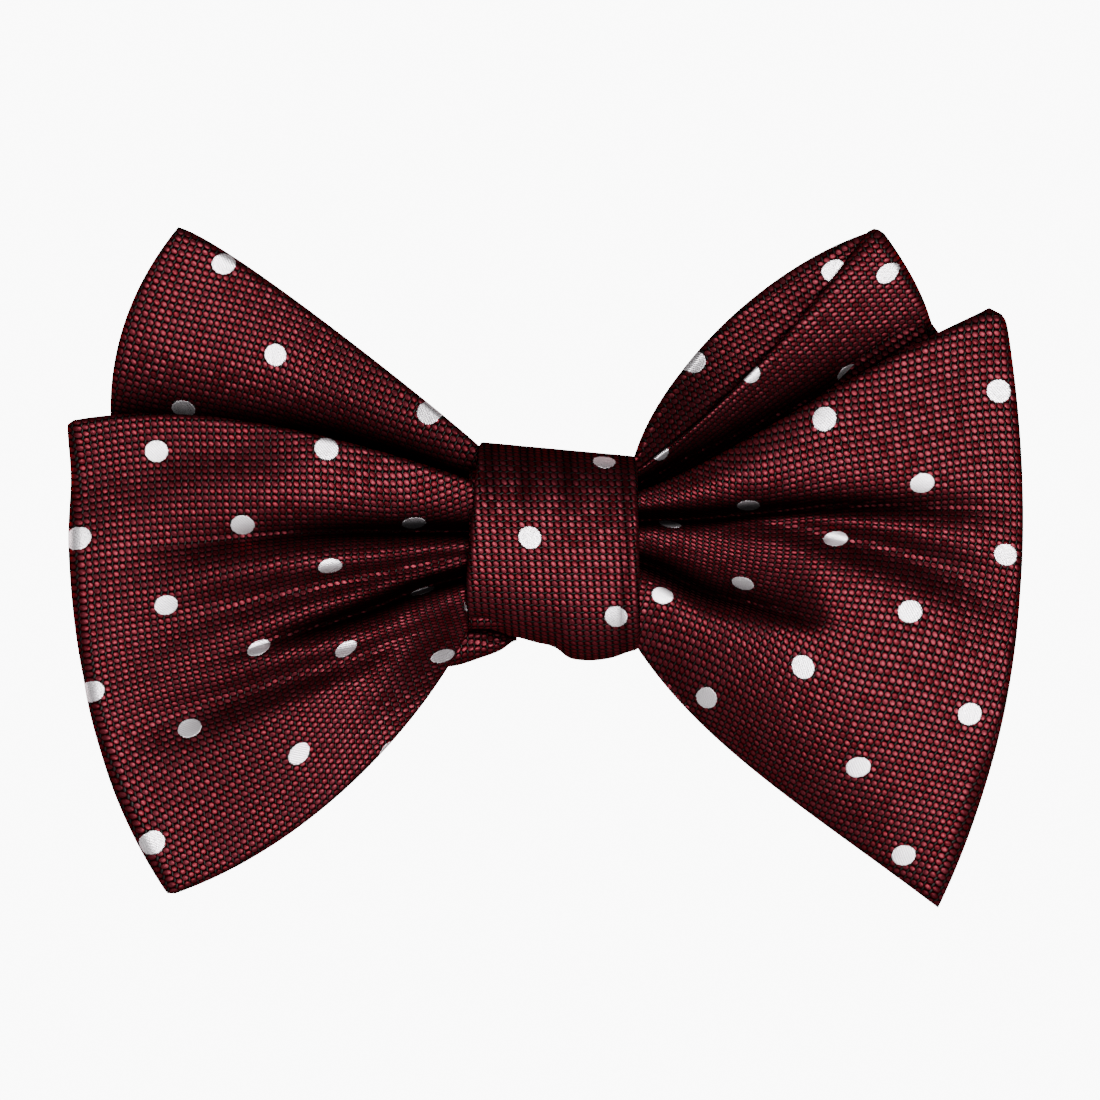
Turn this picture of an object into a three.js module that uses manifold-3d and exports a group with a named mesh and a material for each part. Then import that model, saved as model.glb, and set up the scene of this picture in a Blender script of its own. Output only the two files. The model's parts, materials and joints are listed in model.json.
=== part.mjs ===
// A hand-tied butterfly bow tie with an adjustable neck strap, in millimetres.
//
// Frame: the origin is on the wearer's neck axis, halfway up the neck strap. +Z is up, +Y points to the
// nape, and the bow faces -Y. Angles round the neck are measured from +X, so the nape is at 90 degrees.
//
// Every wing of the bow is a sewn strip of three plies: a face ply, an interlining and a lining ply. The
// two loops are strips folded back on themselves, and the two ends are single strips. They are gathered
// in the knot, whose wrap goes once round both waists.
import * as THREE from "three";
import { LoftGeometry } from "three/addons/geometries/LoftGeometry.js";
import { mergeVertices } from "three/addons/utils/BufferGeometryUtils.js";
import Module from "manifold-3d";

const wasm = await Module();
wasm.setup();

// ---- Driving dimensions ----

const GAP = 0.3; // clearance between pieces that touch
const KNOT_HALF_WIDTH = 10.5; // half the width of the wrap
const KNOT_Y = -78; // the knot's centre, in front of the neck
const WRAP_HALF_DEPTH = 8.4; // the wrap's mid-ply loop, front to back
const ROOT_X = KNOT_HALF_WIDTH + 0.8; // where the wings' mid-surfaces leave the knot
const WRAP_SQUARENESS = 0.6; // 1 is an ellipse, and less has squarer corners
const WAIST_INSET = 2.6; // from the wrap's mid-ply to the top and bottom of the waists
const FRONT_WAIST_Y = [-84.6, -78.2];
const BACK_WAIST_Y = [-77.8, -71.4];
const WAIST_PLEAT_DEPTH = 0.35;
const WAIST_PLEAT_PITCH = 5;
const PASS_THICKNESS = 2.3; // each strap where they cross in the half knot
const UNDER_TURN_X = [-12.9, -10.5, -8.5, -6.5, -5.2]; // sections of the turn under the knot

const FACE_PLY = [0.6, 1.0]; // distances of a ply's two surfaces from the strip's mid-surface
const INTERLINING_PLY = [-0.3, 0.3];
const LINING_PLY = [-1.0, -0.6];

const STRAP_HEIGHT = 18;
const STRAP_THICKNESS = 1.6;
const STRAP_R = 62.3; // the neck strap's mid-surface
const RETURN_R = 65.7; // the strap's turned-back layer
const BAR_R = (STRAP_R + RETURN_R) / 2; // the bars that the strap turns round
const STRAP_FRONT_X = 9.2; // where each strap meets the half knot

const HARDWARE_HALF_HEIGHT = 11;
const SLOT_HALF_HEIGHT = 9.6;
const HARDWARE_THICKNESS = 1.0;
const BAR_X = 11.4; // the hook's and the eye's strap bars, either side of the nape
const BAR_WIDTH = 1.2;
const TONGUE_HALF_HEIGHT = 4;
const SLIDER_ANGLE = 15; // degrees from +X
const SLIDER_HALF_ANGLE = 5.6;
const SLIDER_BAR_ANGLE = 1.2; // an end bar's width
const CENTRE_BAR_R = 0.7;
const SLEEVE_R = 2.2; // the sleeve sewn round the centre bar
const SLEEVE_HOLE_R = 1.0;
const TAB_LENGTH = 18; // the left strap's turned-back end

const ACROSS = 12; // facets across a wing
const ALONG = 8; // facets along one leaf
const ROUND_FOLD = 4; // facets round a loop's fold
const FACET_DEGREES = 9; // round the neck strap
const WRAP_FACETS = 32;
const WAIST_FACETS = 24;

// ---- Materials ----

const silk = new THREE.MeshStandardMaterial({ color: 0x5c0f1c, roughness: 0.6, metalness: 0 });
const liningSilk = new THREE.MeshStandardMaterial({ color: 0x550e1a, roughness: 0.65, metalness: 0 });
const canvas = new THREE.MeshStandardMaterial({ color: 0xd9cfb8, roughness: 0.9, metalness: 0 });
const nickel = new THREE.MeshStandardMaterial({ color: 0xb9b6b0, roughness: 0.25, metalness: 1 });

// ---- Helpers ----

const radians = THREE.MathUtils.degToRad;
const mix = THREE.MathUtils.lerp;
const swell = (a) => Math.sin(Math.PI * a) ** 2; // level at both ends of a leaf
const curve = (...xz) => new THREE.CubicBezierCurve(...xz.map(([x, z]) => new THREE.Vector2(x, z)));

const bowTie = new THREE.Group();

function add(name, geometry, material) {
  const mesh = new THREE.Mesh(geometry, material);
  mesh.name = name;
  bowTie.add(mesh);
  return mesh;
}

function bareGeometry(geometry) {
  const bare = new THREE.BufferGeometry().setAttribute("position", geometry.getAttribute("position"));
  if (geometry.index) bare.setIndex(geometry.index);
  return mergeVertices(bare, 1e-4);
}

function solidOf(geometry) {
  const merged = bareGeometry(geometry);
  return new wasm.Manifold(
    new wasm.Mesh({
      numProp: 3,
      vertProperties: merged.attributes.position.array,
      triVerts: new Uint32Array(merged.index.array),
    }),
  );
}

function geometryOf(solid) {
  const mesh = solid.getMesh();
  return new THREE.BufferGeometry()
    .setAttribute("position", new THREE.BufferAttribute(mesh.vertProperties, 3))
    .setIndex(new THREE.BufferAttribute(mesh.triVerts, 1));
}

const union = (...geometries) => geometryOf(geometries.map(solidOf).reduce((a, b) => a.add(b)));

// A loft whose faces point out, whichever way round its sections are listed.
function closedLoft(sections, caps = true) {
  const [start, next] = sections;
  const area = new THREE.Vector3();
  const travel = new THREE.Vector3();
  start.forEach((point, i) => {
    const following = start[(i + 1) % start.length];
    area.add(point.clone().sub(start[0]).cross(following.clone().sub(start[0])));
    travel.add(next[i]).sub(point);
  });
  const outward = area.dot(travel) > 0;
  const ordered = outward ? sections : sections.map((section) => [...section].reverse());
  return new LoftGeometry(ordered, { capStart: caps, capEnd: caps });
}

// A plan outline raised to a height, centred on the strap's mid-plane.
function standing(shape, height, z = 0) {
  const options = { depth: height, bevelEnabled: false, curveSegments: 6 };
  return new THREE.ExtrudeGeometry(shape, options).translate(0, 0, z - height / 2);
}

// Points along an arc, in degrees, with about one facet for each FACET_DEGREES of it.
function arc(centre, radius, from, to) {
  const facets = Math.ceil(Math.abs(to - from) / FACET_DEGREES);
  return Array.from({ length: facets + 1 }, (_, i) => {
    const angle = radians(mix(from, to, i / facets));
    return new THREE.Vector2(centre.x + radius * Math.cos(angle), centre.y + radius * Math.sin(angle));
  });
}

const NECK_AXIS = new THREE.Vector2(0, 0);
const onRing = (radius, degrees) => arc(NECK_AXIS, radius, degrees, degrees + 1)[0];

function ringSector(innerR, outerR, from, to) {
  return new THREE.Shape([...arc(NECK_AXIS, outerR, from, to), ...arc(NECK_AXIS, innerR, to, from)]);
}

// ---- Wings ----

// One leaf of a wing: two edges from the knot to its end, and how far forward or back it lies. The point
// at a (0 at the knot, 1 at the end) and b (-1 at the lower edge, 1 at the upper edge).
function leafPoint(leaf, a, b) {
  const low = leaf.lower.getPoint(a);
  const high = leaf.upper.getPoint(a);
  const at = low.clone().lerp(high, (b + 1) / 2);
  const outward = new THREE.Vector2(high.y - low.y, low.x - high.x).normalize();
  if (outward.x * leaf.side < 0) outward.negate();
  at.addScaledVector(outward, leaf.bulge * a * a * (1 - b * b));
  let y = leaf.depth(a, b);
  for (const pleat of leaf.pleats) {
    const centre = mix(pleat.root, pleat.tip, Math.min(1, 4 * a));
    const fade = Math.max(0, 1 - a / pleat.reach);
    y += pleat.depth * fade * Math.exp(-(((b - centre) / pleat.width) ** 2));
  }
  return new THREE.Vector3(at.x, y, at.y);
}

// An end's strip: its single leaf.
const endStrip = (leaf) => ({ stations: ALONG, point: (s, b) => leafPoint(leaf, s, b) });

// A loop's strip: the front leaf out to the fold, half a turn round the fold, and the back leaf home.
function loopStrip(front, back) {
  const total = 2 * ALONG + ROUND_FOLD;
  const toFold = ALONG / total;
  const fromFold = (ALONG + ROUND_FOLD) / total;
  const point = (s, b) => {
    if (s <= toFold) return leafPoint(front, s / toFold, b);
    if (s >= fromFold) return leafPoint(back, (1 - s) / (1 - fromFold), b);
    const [near, far] = [leafPoint(front, 1, b), leafPoint(back, 1, b)];
    const turn = (Math.PI * (s - toFold)) / (fromFold - toFold);
    const centre = near.clone().lerp(far, 0.5);
    const radius = near.distanceTo(far) / 2;
    const out = new THREE.Vector3(front.side * radius * Math.sin(turn), 0, 0);
    return centre.clone().add(near.sub(centre).multiplyScalar(Math.cos(turn))).add(out);
  };
  return { stations: total, point };
}

// The unit normal of a strip's mid-surface, by central differences.
function stripNormal(strip, s, b) {
  const step = 1e-3;
  const across = strip.point(s, Math.min(1, b + step)).sub(strip.point(s, Math.max(-1, b - step)));
  const along = strip.point(Math.min(1, s + step), b).sub(strip.point(Math.max(0, s - step), b));
  return across.cross(along).normalize();
}

// A closed solid between two equal grids of points: rows along the strip, columns across it.
function solidBetween(near, far) {
  const [rows, columns] = [near.length, near[0].length];
  const back = rows * columns; // the first index of the far grid
  const index = [];
  const quad = (a, b, c, d) => index.push(a, b, c, a, c, d);
  const at = (row, column) => row * columns + column;
  for (let i = 0; i < rows - 1; i++) {
    for (let j = 0; j < columns - 1; j++) {
      const [a, b, c, d] = [at(i, j), at(i, j + 1), at(i + 1, j + 1), at(i + 1, j)];
      quad(back + a, back + b, back + c, back + d);
      quad(d, c, b, a);
    }
    for (const [from, to] of [
      [at(i + 1, 0), at(i, 0)],
      [at(i, columns - 1), at(i + 1, columns - 1)],
    ]) {
      quad(from, to, back + to, back + from);
    }
  }
  for (let j = 0; j < columns - 1; j++) {
    quad(at(0, j), at(0, j + 1), back + at(0, j + 1), back + at(0, j));
    const end = at(rows - 1, j);
    quad(end + 1, end, back + end, back + end + 1);
  }
  const points = [...near.flat(), ...far.flat()];
  return new THREE.BufferGeometry().setFromPoints(points).setIndex(index);
}

// A ply: the layer between two distances from the strip's mid-surface, measured along its normal.
function ply(strip, layer) {
  const [near, far] = layer.map((distance) =>
    Array.from({ length: strip.stations + 1 }, (_, i) =>
      Array.from({ length: ACROSS + 1 }, (_, j) => {
        const [s, b] = [i / strip.stations, -1 + (2 * j) / ACROSS];
        return strip.point(s, b).addScaledVector(stripNormal(strip, s, b), distance);
      }),
    ),
  );
  return solidBetween(near, far);
}

// faceSign is +1 where the face ply is on the side that the strip's normal points to.
function addWing(name, strip, faceSign) {
  const placed = (layer) => (faceSign > 0 ? layer : layer.map((d) => -d).reverse());
  add(`${name}_face`, ply(strip, placed(FACE_PLY)), silk);
  add(`${name}_interlining`, ply(strip, placed(INTERLINING_PLY)), canvas);
  add(`${name}_lining`, ply(strip, placed(LINING_PLY)), liningSilk);
}

const LEFT = -1;
const RIGHT = 1;

// The front loop, on the left: the folded bulge of the strip that makes the front bow.
const frontLoopPleats = [
  { root: 0.35, tip: 0.43, width: 0.29, depth: 1.5, reach: 0.8 },
  { root: -0.3, tip: 0.03, width: 0.29, depth: 1.5, reach: 0.65 },
];
const frontLoopLeaf = (towardsBack) => ({
  side: LEFT,
  lower: curve([-ROOT_X, -9.6], [-15.5, -22], [-30, -38], [-48.1, -42.75]),
  upper: curve([-ROOT_X, 8.9], [-28, 15], [-46, 18.5], [-60.9, 16.1]),
  bulge: 4,
  pleats: frontLoopPleats,
  depth: (a, b) => {
    const apart = mix(1.6, 2.2, a) + 4.8 * swell(a) * (1 - 0.5 * b * b);
    return mix(-81.7, -82.5, a) + towardsBack * apart + 1.5 * swell(a) * b * b;
  },
});

// The front end, on the right: the free end of the same strip.
const frontEndLeaf = {
  side: RIGHT,
  lower: curve([ROOT_X, -12.1], [19, -25], [33, -34], [48, -44.5]),
  upper: curve([ROOT_X, 7.4], [24, 12], [41, 26], [56.5, 30.2]),
  bulge: 5.8,
  pleats: [
    { root: 0.4, tip: 0.3, width: 0.29, depth: 1.5, reach: 0.85 },
    { root: -0.45, tip: -0.2, width: 0.29, depth: 1.5, reach: 0.6 },
  ],
  depth: (a, b) => mix(-82, -83, a) - 2.5 * swell(a) + 2 * swell(a) * b * b,
};

// The back end, on the left: the free end of the strip that makes the back bow.
const backEndLeaf = {
  side: LEFT,
  lower: curve([-ROOT_X, -8], [-20, -16], [-32, -25], [-45, -30]),
  upper: curve([-ROOT_X, 13.5], [-19, 23], [-33, 32], [-46.9, 40.6]),
  bulge: 10.5,
  pleats: [{ root: 0.1, tip: 0.1, width: 0.3, depth: 1.6, reach: 0.8 }],
  depth: (a, b) => mix(-74.2, -72.5, a) + 1.8 * swell(a) + 1.2 * swell(a) * b * b,
};

// The back loop, on the right: the folded bulge of that strip. Its back leaf stands above its front leaf.
const backLoopDepth = (towardsBack) => (a, b) => {
  const apart = mix(1.6, 2.2, a) + 3.5 * swell(a) * (1 - 0.5 * b * b);
  return mix(-74.6, -73, a) + 1.5 * swell(a) + towardsBack * apart;
};
const backLoopLeaf = (upper, towardsBack) => ({
  side: RIGHT,
  lower: curve([ROOT_X, -6], [22, -10], [36, -17], [48, -20]),
  upper,
  bulge: 8,
  pleats: [{ root: -0.2, tip: -0.2, width: 0.3, depth: 1.2, reach: 0.7 }],
  depth: backLoopDepth(towardsBack),
});
const backLoopFrontEdge = curve([ROOT_X, 9.1], [20, 20], [30, 29], [40.25, 40.6]);
const backLoopBackEdge = curve([ROOT_X, 12.8], [14, 23], [27, 36], [40.25, 40.6]);

addWing("front_loop", loopStrip(frontLoopLeaf(-1), frontLoopLeaf(1)), 1);
addWing("front_end", endStrip(frontEndLeaf), -1);
addWing("back_end", endStrip(backEndLeaf), 1);
addWing("back_loop", loopStrip(backLoopLeaf(backLoopFrontEdge, -1), backLoopLeaf(backLoopBackEdge, 1)), -1);

// ---- Knot ----

// The wrap's mid-ply loop slopes: it is higher on the left and lower on the right.
const wrapTop = (x) => mix(12.7, 10.9, (x + KNOT_HALF_WIDTH) / (2 * KNOT_HALF_WIDTH));
const wrapBottom = (x) => mix(-8.5, -12.4, (x + KNOT_HALF_WIDTH) / (2 * KNOT_HALF_WIDTH));
const squared = (value) => Math.sign(value) * Math.abs(value) ** WRAP_SQUARENESS;

function wrapPoint(x, turn, offset) {
  const middle = (wrapTop(x) + wrapBottom(x)) / 2;
  const halfHeight = (wrapTop(x) - wrapBottom(x)) / 2 + offset;
  const y = KNOT_Y + (WRAP_HALF_DEPTH + offset) * squared(Math.cos(turn));
  return new THREE.Vector3(x, y, middle + halfHeight * squared(Math.sin(turn)));
}

function wrapPly([inner, outer]) {
  const sections = [];
  for (let i = 0; i <= WRAP_FACETS; i++) {
    const turn = (2 * Math.PI * (i % WRAP_FACETS)) / WRAP_FACETS;
    sections.push([
      wrapPoint(-KNOT_HALF_WIDTH, turn, inner),
      wrapPoint(KNOT_HALF_WIDTH, turn, inner),
      wrapPoint(KNOT_HALF_WIDTH, turn, outer),
      wrapPoint(-KNOT_HALF_WIDTH, turn, outer),
    ]);
  }
  return closedLoft(sections, false);
}

add("wrap_face", wrapPly(FACE_PLY), silk);
add("wrap_interlining", wrapPly(INTERLINING_PLY), canvas);
add("wrap_lining", wrapPly(LINING_PLY), liningSilk);

// A strip's waist, squeezed flat inside the wrap, with the pleats showing as waves on its front.
function waist([fromY, toY]) {
  const halfDepth = (toY - fromY) / 2 - WAIST_PLEAT_DEPTH;
  const sections = [-KNOT_HALF_WIDTH, 0, KNOT_HALF_WIDTH].map((x) => {
    const [top, bottom] = [wrapTop(x) - WAIST_INSET, wrapBottom(x) + WAIST_INSET];
    return Array.from({ length: WAIST_FACETS }, (_, i) => {
      const turn = (2 * Math.PI * i) / WAIST_FACETS;
      const z = (top + bottom) / 2 + ((top - bottom) / 2) * squared(Math.sin(turn));
      const wave = WAIST_PLEAT_DEPTH * Math.cos((z * 2 * Math.PI) / WAIST_PLEAT_PITCH);
      const y = (fromY + toY) / 2 + halfDepth * squared(Math.cos(turn)) + wave;
      return new THREE.Vector3(x, y, z);
    });
  });
  return closedLoft(sections);
}

add("front_waist", waist(FRONT_WAIST_Y), silk);
add("back_waist", waist(BACK_WAIST_Y), silk);

// The turn under the knot, where the wrapping strip goes up behind it.
function underTurn() {
  const [from, to] = [UNDER_TURN_X[0], UNDER_TURN_X.at(-1)];
  const sections = UNDER_TURN_X.map((x) => {
    const top = wrapBottom(Math.max(x, -KNOT_HALF_WIDTH)) - FACE_PLY[1] - 2 * GAP;
    const bottom = Math.min(mix(-14.6, -11.8, (x - from) / (to - from)), top - 0.8);
    return [
      [-76, top],
      [-76, mix(bottom, top, 0.4)],
      [-74.5, bottom],
      [-72, bottom],
      [-70.5, mix(bottom, top, 0.4)],
      [-70.5, top],
    ].map(([y, z]) => new THREE.Vector3(x, y, z));
  });
  return closedLoft(sections);
}
add("under_turn", underTurn(), silk);

// The half knot: the two straps cross between the wrap and the collar.
const WRAP_BACK_Y = KNOT_Y + WRAP_HALF_DEPTH + FACE_PLY[1];
function strapPass(fromY, halfHeight) {
  const width = 2 * (STRAP_FRONT_X - GAP);
  const box = new THREE.BoxGeometry(width, PASS_THICKNESS, 2 * halfHeight);
  return box.translate(0, fromY + PASS_THICKNESS / 2, 0);
}
const rightPassY = WRAP_BACK_Y + GAP;
const leftPassY = rightPassY + PASS_THICKNESS + GAP;
add("half_knot_right_pass", strapPass(rightPassY, 8), silk);
add("half_knot_left_pass", strapPass(leftPassY, STRAP_HEIGHT / 2), silk);

// ---- Neck strap ----

const BAR_Y = Math.sqrt(BAR_R ** 2 - BAR_X ** 2);
const BAR_ANGLE = THREE.MathUtils.radToDeg(Math.acos(BAR_X / BAR_R)); // the hook's bar
const FRONT_ANGLE = -THREE.MathUtils.radToDeg(Math.acos(STRAP_FRONT_X / STRAP_R)); // the right strap's end
const HALF = STRAP_THICKNESS / 2;

// The right strap from the half knot to the nape and round the hook's bar, to where its outer layer starts.
function strapWithFold(outerLayerEnd) {
  const barCentre = onRing(BAR_R, BAR_ANGLE);
  const layerToBar = BAR_R - STRAP_R;
  return new THREE.Shape([
    ...arc(NECK_AXIS, STRAP_R - HALF, FRONT_ANGLE, BAR_ANGLE),
    ...arc(barCentre, layerToBar + HALF, BAR_ANGLE + 180, BAR_ANGLE).slice(1),
    ...arc(NECK_AXIS, RETURN_R + HALF, BAR_ANGLE, outerLayerEnd).slice(1),
    ...arc(NECK_AXIS, RETURN_R - HALF, outerLayerEnd, BAR_ANGLE),
    ...arc(barCentre, layerToBar - HALF, BAR_ANGLE, BAR_ANGLE + 180).slice(1),
    ...arc(NECK_AXIS, STRAP_R + HALF, BAR_ANGLE, FRONT_ANGLE).slice(1),
  ]);
}

const degreesFor = (length, radius) => THREE.MathUtils.radToDeg(length / radius);
const FOLD_END = BAR_ANGLE - degreesFor(3, RETURN_R);
add("right_neck_strap", standing(strapWithFold(FOLD_END), STRAP_HEIGHT), silk);

// The left strap is its mirror image, and its turned-back tab is longer.
const tabEnd = BAR_ANGLE - degreesFor(TAB_LENGTH, RETURN_R);
const tabbed = solidOf(standing(strapWithFold(tabEnd), STRAP_HEIGHT));
add("left_neck_strap", geometryOf(tabbed.mirror([1, 0, 0])), silk);

// The turned-back layer, from the hook's fold to the slider's bar.
const gapAngle = degreesFor(GAP, RETURN_R);
const returnEnd = SLIDER_ANGLE + degreesFor(SLEEVE_R, RETURN_R) + gapAngle;
const returnShape = ringSector(RETURN_R - HALF, RETURN_R + HALF, returnEnd, FOLD_END - gapAngle);
add("strap_return", standing(returnShape, STRAP_HEIGHT), silk);

// ---- Hardware ----

// A plate standing at the nape: an outline in X and Z, with its mid-plane on the bars.
function plate(outline) {
  const options = { depth: HARDWARE_THICKNESS, bevelEnabled: false, curveSegments: 3 };
  return new THREE.ExtrudeGeometry(outline, options)
    .rotateX(Math.PI / 2)
    .translate(0, BAR_Y + HARDWARE_THICKNESS / 2, 0);
}

function rectangle(fromX, toX, halfHeight, corner, Kind = THREE.Shape) {
  const outline = new Kind().moveTo(fromX + corner, -halfHeight).lineTo(toX - corner, -halfHeight);
  outline.quadraticCurveTo(toX, -halfHeight, toX, -halfHeight + corner).lineTo(toX, halfHeight - corner);
  outline.quadraticCurveTo(toX, halfHeight, toX - corner, halfHeight).lineTo(fromX + corner, halfHeight);
  outline.quadraticCurveTo(fromX, halfHeight, fromX, halfHeight - corner).lineTo(fromX, -halfHeight + corner);
  return outline.quadraticCurveTo(fromX, -halfHeight, fromX + corner, -halfHeight);
}

const STRAP_SLOT = [7.2, BAR_X - BAR_WIDTH / 2]; // from the bar towards the nape
const CATCH_SLOT = [2.0, 5.8]; // in the eye, for the hook's tongue
const PLATE_END = BAR_X + BAR_WIDTH / 2;

function eye() {
  const outline = rectangle(-PLATE_END, -0.8, HARDWARE_HALF_HEIGHT, 1.5);
  outline.holes.push(rectangle(-STRAP_SLOT[1], -STRAP_SLOT[0], SLOT_HALF_HEIGHT, 0.5, THREE.Path));
  outline.holes.push(rectangle(-CATCH_SLOT[1], -CATCH_SLOT[0], TONGUE_HALF_HEIGHT + 1.2, 0.5, THREE.Path));
  return plate(outline);
}

// The hook's tongue goes over the eye's end bar, and its tip turns down into the eye's slot.
function hook() {
  const frame = rectangle(5.8, PLATE_END, HARDWARE_HALF_HEIGHT, 1.4);
  frame.holes.push(rectangle(...STRAP_SLOT, SLOT_HALF_HEIGHT, 0.5, THREE.Path));
  const side = new THREE.Shape(
    [
      [6.9, -0.5],
      [6.9, 0.5],
      [4.6, 1.8],
      [-3.9, 1.8],
      [-4.6, 1.1],
      [-4.6, -1.7],
      [-3.7, -1.7],
      [-3.7, 0.9],
      [4.2, 0.9],
      [6.1, -0.5],
    ].map(([x, out]) => new THREE.Vector2(x, BAR_Y + out)),
  );
  return union(plate(frame), standing(side, 2 * TONGUE_HALF_HEIGHT));
}

add("eye", eye(), nickel);
add("hook", hook(), nickel);

// The slider: two end bars inside the strap and a raised centre bar outside it, which holds the return.
function slider() {
  const [low, high] = [SLIDER_ANGLE - SLIDER_HALF_ANGLE, SLIDER_ANGLE + SLIDER_HALF_ANGLE];
  const innerR = STRAP_R - HALF - 0.4 - BAR_WIDTH;
  const railHeight = HARDWARE_HALF_HEIGHT - SLOT_HALF_HEIGHT;
  const railZ = (HARDWARE_HALF_HEIGHT + SLOT_HALF_HEIGHT) / 2;
  const sector = (from, to, outerR = innerR + BAR_WIDTH) => ringSector(innerR, outerR, from, to);
  const bars = [
    [low, low + SLIDER_BAR_ANGLE],
    [high - SLIDER_BAR_ANGLE, high],
  ].map(([from, to]) => standing(sector(from, to), 2 * HARDWARE_HALF_HEIGHT));
  const sides = [railZ, -railZ].flatMap((z) => [
    standing(sector(low, high), railHeight, z),
    standing(sector(SLIDER_ANGLE - 1, SLIDER_ANGLE + 1, RETURN_R + CENTRE_BAR_R), railHeight, z),
  ]);
  const centreBar = new THREE.CylinderGeometry(CENTRE_BAR_R, CENTRE_BAR_R, 2 * HARDWARE_HALF_HEIGHT, 12);
  centreBar.rotateX(Math.PI / 2);
  const angle = radians(SLIDER_ANGLE);
  centreBar.translate(RETURN_R * Math.cos(angle), RETURN_R * Math.sin(angle), 0);
  return union(...bars, ...sides, centreBar);
}

// The end of the return, sewn round the slider's centre bar.
function barSleeve() {
  const angle = radians(SLIDER_ANGLE);
  const centre = [RETURN_R * Math.cos(angle), RETURN_R * Math.sin(angle)];
  const outline = new THREE.Shape().absarc(...centre, SLEEVE_R, 0, 2 * Math.PI, false);
  outline.holes.push(new THREE.Path().absarc(...centre, SLEEVE_HOLE_R, 0, 2 * Math.PI, true));
  return standing(outline, STRAP_HEIGHT);
}

add("slider", slider(), nickel);
add("bar_sleeve", barSleeve(), silk);

export default bowTie;
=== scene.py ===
"""The looks of a hand-tied bow tie: four sewn silk wings, the knot that gathers them, and the neck strap
with its metal slider, hook and eye. Lengths are millimetres, which MM turns into metres. X is to the
right of someone facing the bow, Y goes from the bow to the nape, and Z is up."""

import json
import math
from dataclasses import dataclass
from functools import partial

import bmesh
import bpy
import numpy as np
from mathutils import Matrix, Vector


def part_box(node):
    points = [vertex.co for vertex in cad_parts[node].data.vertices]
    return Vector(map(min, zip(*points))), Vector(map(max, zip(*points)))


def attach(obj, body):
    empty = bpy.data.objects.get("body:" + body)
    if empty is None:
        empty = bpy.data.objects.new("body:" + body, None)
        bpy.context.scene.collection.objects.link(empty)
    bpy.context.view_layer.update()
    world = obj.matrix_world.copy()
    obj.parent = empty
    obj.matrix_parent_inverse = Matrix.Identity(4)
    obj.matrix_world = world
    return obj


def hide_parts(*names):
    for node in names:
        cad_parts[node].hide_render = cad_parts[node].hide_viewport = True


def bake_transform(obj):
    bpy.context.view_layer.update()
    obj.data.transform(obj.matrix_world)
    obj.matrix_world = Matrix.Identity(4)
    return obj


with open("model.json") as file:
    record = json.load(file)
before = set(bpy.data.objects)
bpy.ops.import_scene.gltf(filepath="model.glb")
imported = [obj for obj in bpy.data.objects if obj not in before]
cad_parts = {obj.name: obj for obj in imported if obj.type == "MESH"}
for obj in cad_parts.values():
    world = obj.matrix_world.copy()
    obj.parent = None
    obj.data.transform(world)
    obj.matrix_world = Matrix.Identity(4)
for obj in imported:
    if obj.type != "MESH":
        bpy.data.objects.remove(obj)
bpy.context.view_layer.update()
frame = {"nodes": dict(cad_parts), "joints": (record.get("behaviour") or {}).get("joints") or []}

MM = 0.001

# ---- Driving dimensions ----

FRAME_WIDTH = 137.5  # what the camera sees across, at FRAMED_DEPTH behind the knot's front
FRAMED_DEPTH = 4.0
CAMERA_DISTANCE = 700.0  # from the knot's front
CAMERA_X = -0.4
CAMERA_Z = 0.1
FLOOR_DROP = 100.0  # the floor is this far below the lowest tip
FLOOR_RADIUS = 600.0
ROOM_LIGHT = 0.05  # how strongly the world lights the object
BACKDROP_LIGHT = 10.0  # and how bright it looks to the camera

WEAVE_ALONG = 0.82  # the weave's pitch along a strip
WEAVE_ACROSS = 0.89
SPOT_STEP = 10.0  # spots stand at every other crossing of a square grid of this step
SPOT_RADIUS = 1.39

PLY = 0.28  # a ply of silk
HALF_STRIP = 0.85  # from a sewn strip's mid-surface to its outside
SEAM_ROUNDING = 0.9  # how far from a seam the strip is full thickness
SEAM_OUTSIDE = 0.05  # from the mid-surface to a ply's two sides at its seams
SEAM_INSIDE = 0.02
CORE_HALF = 0.15  # half the interlining's thickness
TUCKED = 3.0  # how far the wings run into the knot
BEND_START = 1.5  # where a wing's bend would start, this far inside the knot's edge and end, this far from the middle; the wing is not bent
BEND_END = 20.0  # and has bent fully this far from the middle

joint_at = {joint["name"]: joint.get("pos_m") for joint in frame["joints"]}
wrap_low, wrap_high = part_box("wrap_face")
KNOT_X = wrap_high.x / MM  # half the wrap's width


# ---- Numbers and curves ----


def mix(start, end, share):
    return start + (end - start) * share


def swell(a):
    """0 at both ends of a leaf and 1 halfway, level at its ends."""
    return np.sin(np.pi * np.clip(a, 0, 1)) ** 2


def bump(value, middle, width):
    """1 at the middle, falling smoothly to 0 on both sides."""
    return np.exp(-(((value - middle) / width) ** 2))


def smooth_step(value, low, high):
    t = np.clip((value - low) / (high - low), 0, 1)
    return t * t * (3 - 2 * t)


def smooth_through(x, knots, values):
    """A smooth curve through points at increasing knots, level beyond the first and the last."""
    knots, values = np.asarray(knots, float), np.asarray(values, float)
    slopes = np.gradient(values, knots)
    slopes[0] = slopes[-1] = 0
    x = np.clip(x, knots[0], knots[-1])
    i = np.clip(np.searchsorted(knots, x) - 1, 0, len(knots) - 2)
    width = knots[i + 1] - knots[i]
    t = (x - knots[i]) / width
    return (
        (1 + 2 * t) * (1 - t) ** 2 * values[i]
        + t * (1 - t) ** 2 * width * slopes[i]
        + t * t * (3 - 2 * t) * values[i + 1]
        + t * t * (t - 1) * width * slopes[i + 1]
    )


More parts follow.
